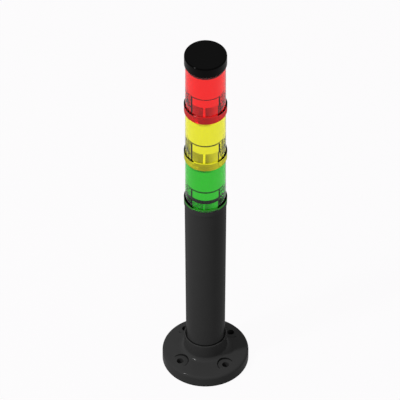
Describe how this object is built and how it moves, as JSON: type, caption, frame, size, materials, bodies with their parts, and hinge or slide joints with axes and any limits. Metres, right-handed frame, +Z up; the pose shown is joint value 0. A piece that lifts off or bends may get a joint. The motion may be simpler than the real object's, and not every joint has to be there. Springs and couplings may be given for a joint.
{
  "type": "stack light",
  "caption": "Slim signal tower: transparent red, yellow and green light modules with a black cap, stacked on a dark tapered tube with a round screw-down foot.",
  "frame": {"origin": "middle of the foot's underside", "axes": "+Z up along the tube, +X and +Y midway between the foot's fixing holes"},
  "size_m": [0.08, 0.08, 0.3945],
  "materials": {
    "foot_plastic": "fine moulded grain",
    "pole_plastic": "fine moulded grain",
    "cap_plastic": "fine moulded grain",
    "black_plastic": "satin",
    "grey_plastic": "satin",
    "white_diffuser": "translucent",
    "lens_green": "polished, transparent",
    "lens_yellow": "polished, transparent",
    "lens_red": "polished, transparent",
    "led_green": "clear",
    "led_yellow": "clear",
    "led_red": "clear",
    "board": "solder mask",
    "terminal_plastic": "satin",
    "rubber": "matt",
    "foam_rubber": "closed-cell foam",
    "steel": "zinc plated",
    "brass": "turned"
  },
  "bodies": {
    "base": {"foot_flange": "foot_plastic", "foot_gasket": "foam_rubber", "pole_seal": "rubber", "pole_tube": "pole_plastic", "pole_head": "pole_plastic", "pole_screws": "steel", "neck_base": "grey_plastic", "lock_ring_base": "black_plastic", "contact_plate_base": "board", "terminal_block": "terminal_plastic", "terminal_screws": "steel"},
    "module_green": {"lens_green": "lens_green", "light_sleeve_green": "white_diffuser", "pin_block_green": "terminal_plastic", "contact_pins_green": "brass", "led_board_green": "board", "leds_green": "led_green", "neck_green": "grey_plastic", "lock_ring_green": "grey_plastic", "contact_plate_green": "board"},
    "module_yellow": {"lens_yellow": "lens_yellow", "light_sleeve_yellow": "white_diffuser", "pin_block_yellow": "terminal_plastic", "contact_pins_yellow": "brass", "led_board_yellow": "board", "leds_yellow": "led_yellow", "neck_yellow": "grey_plastic", "lock_ring_yellow": "grey_plastic", "contact_plate_yellow": "board"},
    "module_red": {"lens_red": "lens_red", "light_sleeve_red": "white_diffuser", "pin_block_red": "terminal_plastic", "contact_pins_red": "brass", "led_board_red": "board", "leds_red": "led_red", "end_cap": "cap_plastic", "cap_seal": "rubber"}
  },
  "joints": [
    {"name": "green_bayonet", "type": "hinge", "parent": "base", "child": "module_green", "pos_m": [0, 0, 0.2028], "axis": [0, 0, 1], "range_deg": [0, 30]},
    {"name": "yellow_bayonet", "type": "hinge", "parent": "module_green", "child": "module_yellow", "pos_m": [0, 0, 0.2631], "axis": [0, 0, 1], "range_deg": [0, 30]},
    {"name": "red_bayonet", "type": "hinge", "parent": "module_yellow", "child": "module_red", "pos_m": [0, 0, 0.3234], "axis": [0, 0, 1], "range_deg": [0, 30]}
  ]
}
